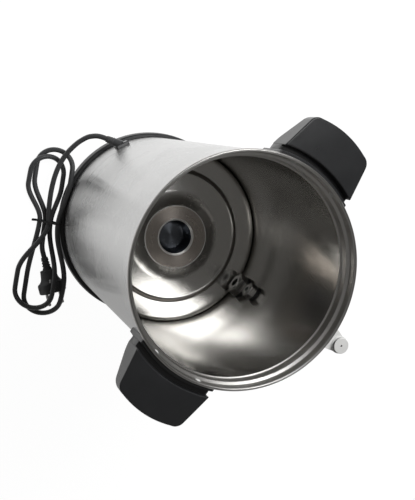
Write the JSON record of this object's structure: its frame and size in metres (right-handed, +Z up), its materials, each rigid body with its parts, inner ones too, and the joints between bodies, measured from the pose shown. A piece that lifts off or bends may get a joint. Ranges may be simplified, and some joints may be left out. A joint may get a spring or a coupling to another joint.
{
  "type": "electric water boiler",
  "caption": "Double-walled steel water boiler with open mouth, lid seat, heater hub, push-down tap, sight gauge, side handles, control band and a tied-up mains lead with plug.",
  "frame": {"origin": "on the vessel's axis, in the plane of the rubber foot ring's lower face", "axes": "+Z up along the vessel's axis; the tap and the sight gauge are at -Y; the handles are at +X and -X"},
  "size_m": [0.3924, 0.4398, 0.403],
  "materials": {
    "jacket_steel": "satin",
    "tank_steel": "satin",
    "hub_steel": "satin, tinted by heat",
    "bright_metal": "polished",
    "dark_nut": "dull",
    "brass": "turned",
    "black_plastic": "moulded, lightly grained",
    "cord_rubber": "satin",
    "seal_rubber": "matte",
    "silicone": "matte",
    "ceramic": "gloss",
    "gauge_glass": "clear",
    "amber_lens": "translucent",
    "green_lens": "translucent"
  },
  "bodies": {
    "urn": {"jacket": "jacket_steel", "lower_housing": "jacket_steel", "tank_shell": "tank_steel", "tank_floor": "tank_steel", "tank_spacer": "black_plastic", "heater_hub": "hub_steel", "hub_gasket": "silicone", "hub_ring_nut": "brass", "heater_plate": "bright_metal", "heating_element": "dark_nut", "boil_dry_cutout": "dark_nut", "cutout_bracket": "jacket_steel", "base_ring": "black_plastic", "foot_ring": "seal_rubber", "bottom_plate": "jacket_steel", "tie_rods": "jacket_steel", "tie_nuts": "bright_metal", "terminal_block": "ceramic", "handle_left": "black_plastic", "handle_right": "black_plastic", "handle_rivets": "bright_metal", "tap_body": "bright_metal", "tap_gaskets": "seal_rubber", "tap_washer": "tank_steel", "tap_nut": "dark_nut", "tap_bonnet": "bright_metal", "tap_pin": "bright_metal", "tap_spring": "bright_metal", "gauge_lower_fitting": "bright_metal", "gauge_gaskets": "seal_rubber", "gauge_washer": "tank_steel", "gauge_nut": "dark_nut", "gauge_seals": "seal_rubber", "gauge_gland": "bright_metal", "gauge_tube": "gauge_glass", "gauge_upper_fitting": "bright_metal", "gauge_upper_nut": "bright_metal", "gauge_cap": "bright_metal", "thermostat_body": "dark_nut", "thermostat_nut": "bright_metal", "switch_housing": "black_plastic", "heat_lamp": "amber_lens", "ready_lamp": "green_lens", "cord_gland": "black_plastic", "cord_lead": "cord_rubber", "cord_hank": "cord_rubber", "cord_tie": "black_plastic", "plug_body": "black_plastic", "plug_pins": "bright_metal", "plug_earth_clips": "bright_metal"},
    "lever": {"tap_lever": "black_plastic"},
    "stem": {"tap_stem": "brass", "tap_seal": "seal_rubber"},
    "knob": {"thermostat_knob": "black_plastic", "thermostat_shaft": "tank_steel"},
    "rocker": {"switch_rocker": "black_plastic"}
  },
  "joints": [
    {"name": "lever_pivot", "type": "hinge", "parent": "urn", "child": "lever", "pos_m": [0, -0.179, 0.186], "axis": [1, 0, 0], "range_deg": [0, 20], "stiffness_Nm_per_rad": 0.6, "springref_deg": -11.46},
    {"name": "stem_slide", "type": "slide", "parent": "urn", "child": "stem", "axis": [0, 0, -1], "range_m": [0, 0.0033], "deforming": ["tap_spring"]},
    {"name": "knob_turn", "type": "hinge", "parent": "urn", "child": "knob", "pos_m": [0, -0.14, 0.048], "axis": [0, -1, 0], "range_deg": [-270, 0]},
    {"name": "rocker_tip", "type": "hinge", "parent": "urn", "child": "rocker", "pos_m": [-0.05153, -0.11573, 0.048], "axis": [0.9135, -0.4067, 0], "range_deg": [-18, 0]}
  ],
  "couplings": [
    {"joint": "stem_slide", "follows": "lever_pivot", "m_per_rad": 0.009}
  ]
}
